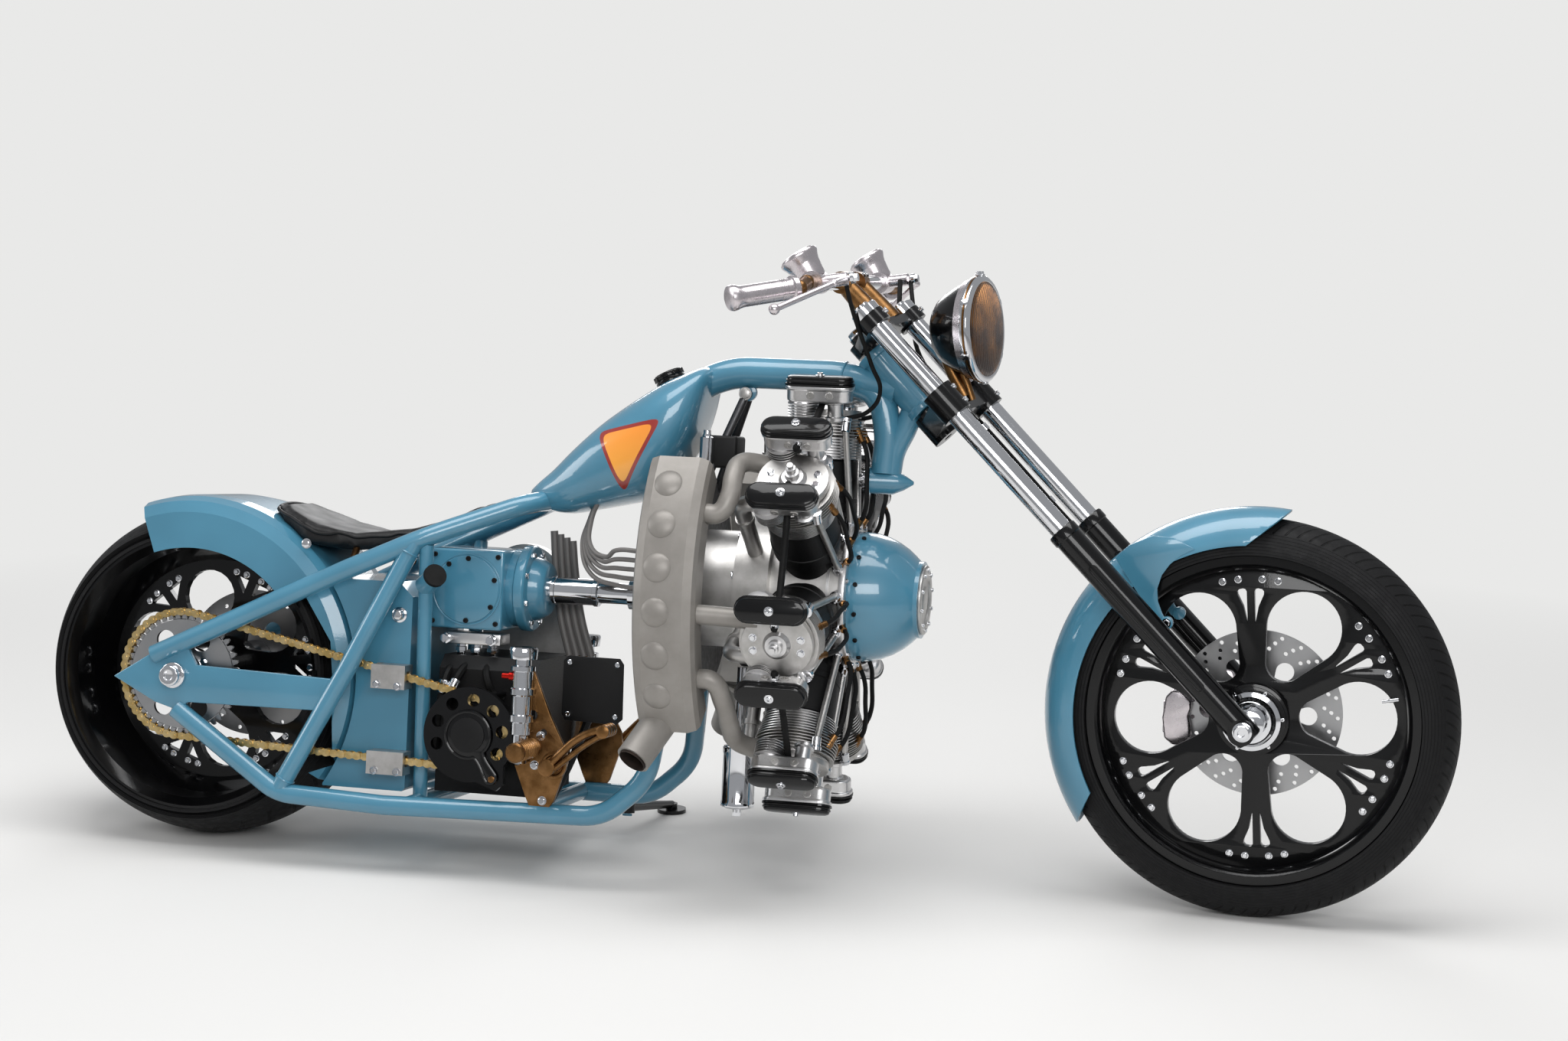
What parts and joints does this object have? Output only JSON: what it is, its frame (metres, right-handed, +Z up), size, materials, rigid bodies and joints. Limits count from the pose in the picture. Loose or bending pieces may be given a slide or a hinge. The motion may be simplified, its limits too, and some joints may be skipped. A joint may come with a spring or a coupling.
{
  "type": "motorcycle",
  "caption": "Long custom motorcycle with a raked fork, a radial aero-style engine across a tubular rigid frame, a wide rear tyre, and a side stand it leans on.",
  "frame": {"origin": "on the ground, at the middle of the box around the whole parked motorcycle, handlebar and side stand included", "axes": "+X forwards along the frame's middle plane, +Y to the rider's left, +Z up; the bike leans 7 degrees to its left and the fork is turned 6 degrees to the right"},
  "size_m": [2.7467, 0.9301, 1.2143],
  "materials": {
    "blue_paint": "gloss",
    "black_paint": "gloss",
    "leather": "satin",
    "rubber": "matte",
    "bronze": "satin",
    "chrome": "polished",
    "gold_chain": "satin",
    "aluminium": "satin",
    "dark_alloy": "satin",
    "exhaust_steel": "satin",
    "disc_steel": "satin",
    "tyre": "matte"
  },
  "bodies": {
    "chassis": {"neck_and_backbone": "blue_paint", "right_frame": "blue_paint", "left_frame": "blue_paint", "frame_cross_tubes": "blue_paint", "fuel_tank": "blue_paint", "fuel_cap": "blue_paint", "seat": "leather", "seat_brackets": "bronze", "rear_fender": "blue_paint", "oil_tank": "blue_paint", "oil_filler_cap": "rubber", "rear_axle": "chrome", "rear_brake_caliper": "chrome", "drive_chain": "gold_chain", "chain_guides": "aluminium", "transmission_case": "dark_alloy", "sprocket_cover": "black_paint", "gearbox": "blue_paint", "drive_shaft": "chrome", "belt_cover": "aluminium", "crankcase": "aluminium", "nose_case": "blue_paint", "cylinder_barrels": "dark_alloy", "cylinder_heads": "aluminium", "rocker_covers": "black_paint", "pushrod_tubes": "aluminium", "intake_pipes": "exhaust_steel", "exhaust_stubs": "exhaust_steel", "right_collector": "exhaust_steel", "left_collector": "exhaust_steel", "oil_filter": "chrome", "engine_mount": "dark_alloy", "right_foot_controls": "bronze", "left_foot_controls": "bronze", "stand_bracket": "blue_paint"},
    "side_stand": {"side_stand": "black_paint"},
    "front_end": {"fork_tubes": "chrome", "fork_sliders": "black_paint", "upper_tree": "black_paint", "lower_tree": "black_paint", "handlebar": "bronze", "grips": "chrome", "hand_controls": "chrome", "headlamp": "black_paint", "front_fender": "blue_paint", "front_axle": "chrome", "front_brake_caliper": "chrome"},
    "front_wheel": {"front_tyre": "tyre", "front_rim": "black_paint", "front_brake_disc": "disc_steel"},
    "rear_wheel": {"rear_tyre": "tyre", "rear_rim": "black_paint", "rear_sprocket": "disc_steel", "rear_brake_disc": "disc_steel"}
  },
  "joints": [
    {"name": "steering", "type": "hinge", "parent": "chassis", "child": "front_end", "pos_m": [0.5273, -0.02035, 0.73745], "axis": [-0.7071, 0.0862, 0.7018], "range_deg": [-22, 34]},
    {"name": "front_wheel_spin", "type": "hinge", "parent": "front_end", "child": "front_wheel", "pos_m": [1.00431, -0.07341, 0.36965], "axis": [0.0739, 0.9961, -0.0478], "continuous": true},
    {"name": "rear_wheel_spin", "type": "hinge", "parent": "chassis", "child": "rear_wheel", "pos_m": [-1.0454, -0.07069, 0.32749], "axis": [0, 0.9925, -0.1219], "continuous": true},
    {"name": "side_stand_fold", "type": "hinge", "parent": "chassis", "child": "side_stand", "pos_m": [-0.2454, 0.1197, 0.0563], "axis": [0, 0.203, 0.9792], "range_deg": [0, 90]}
  ]
}
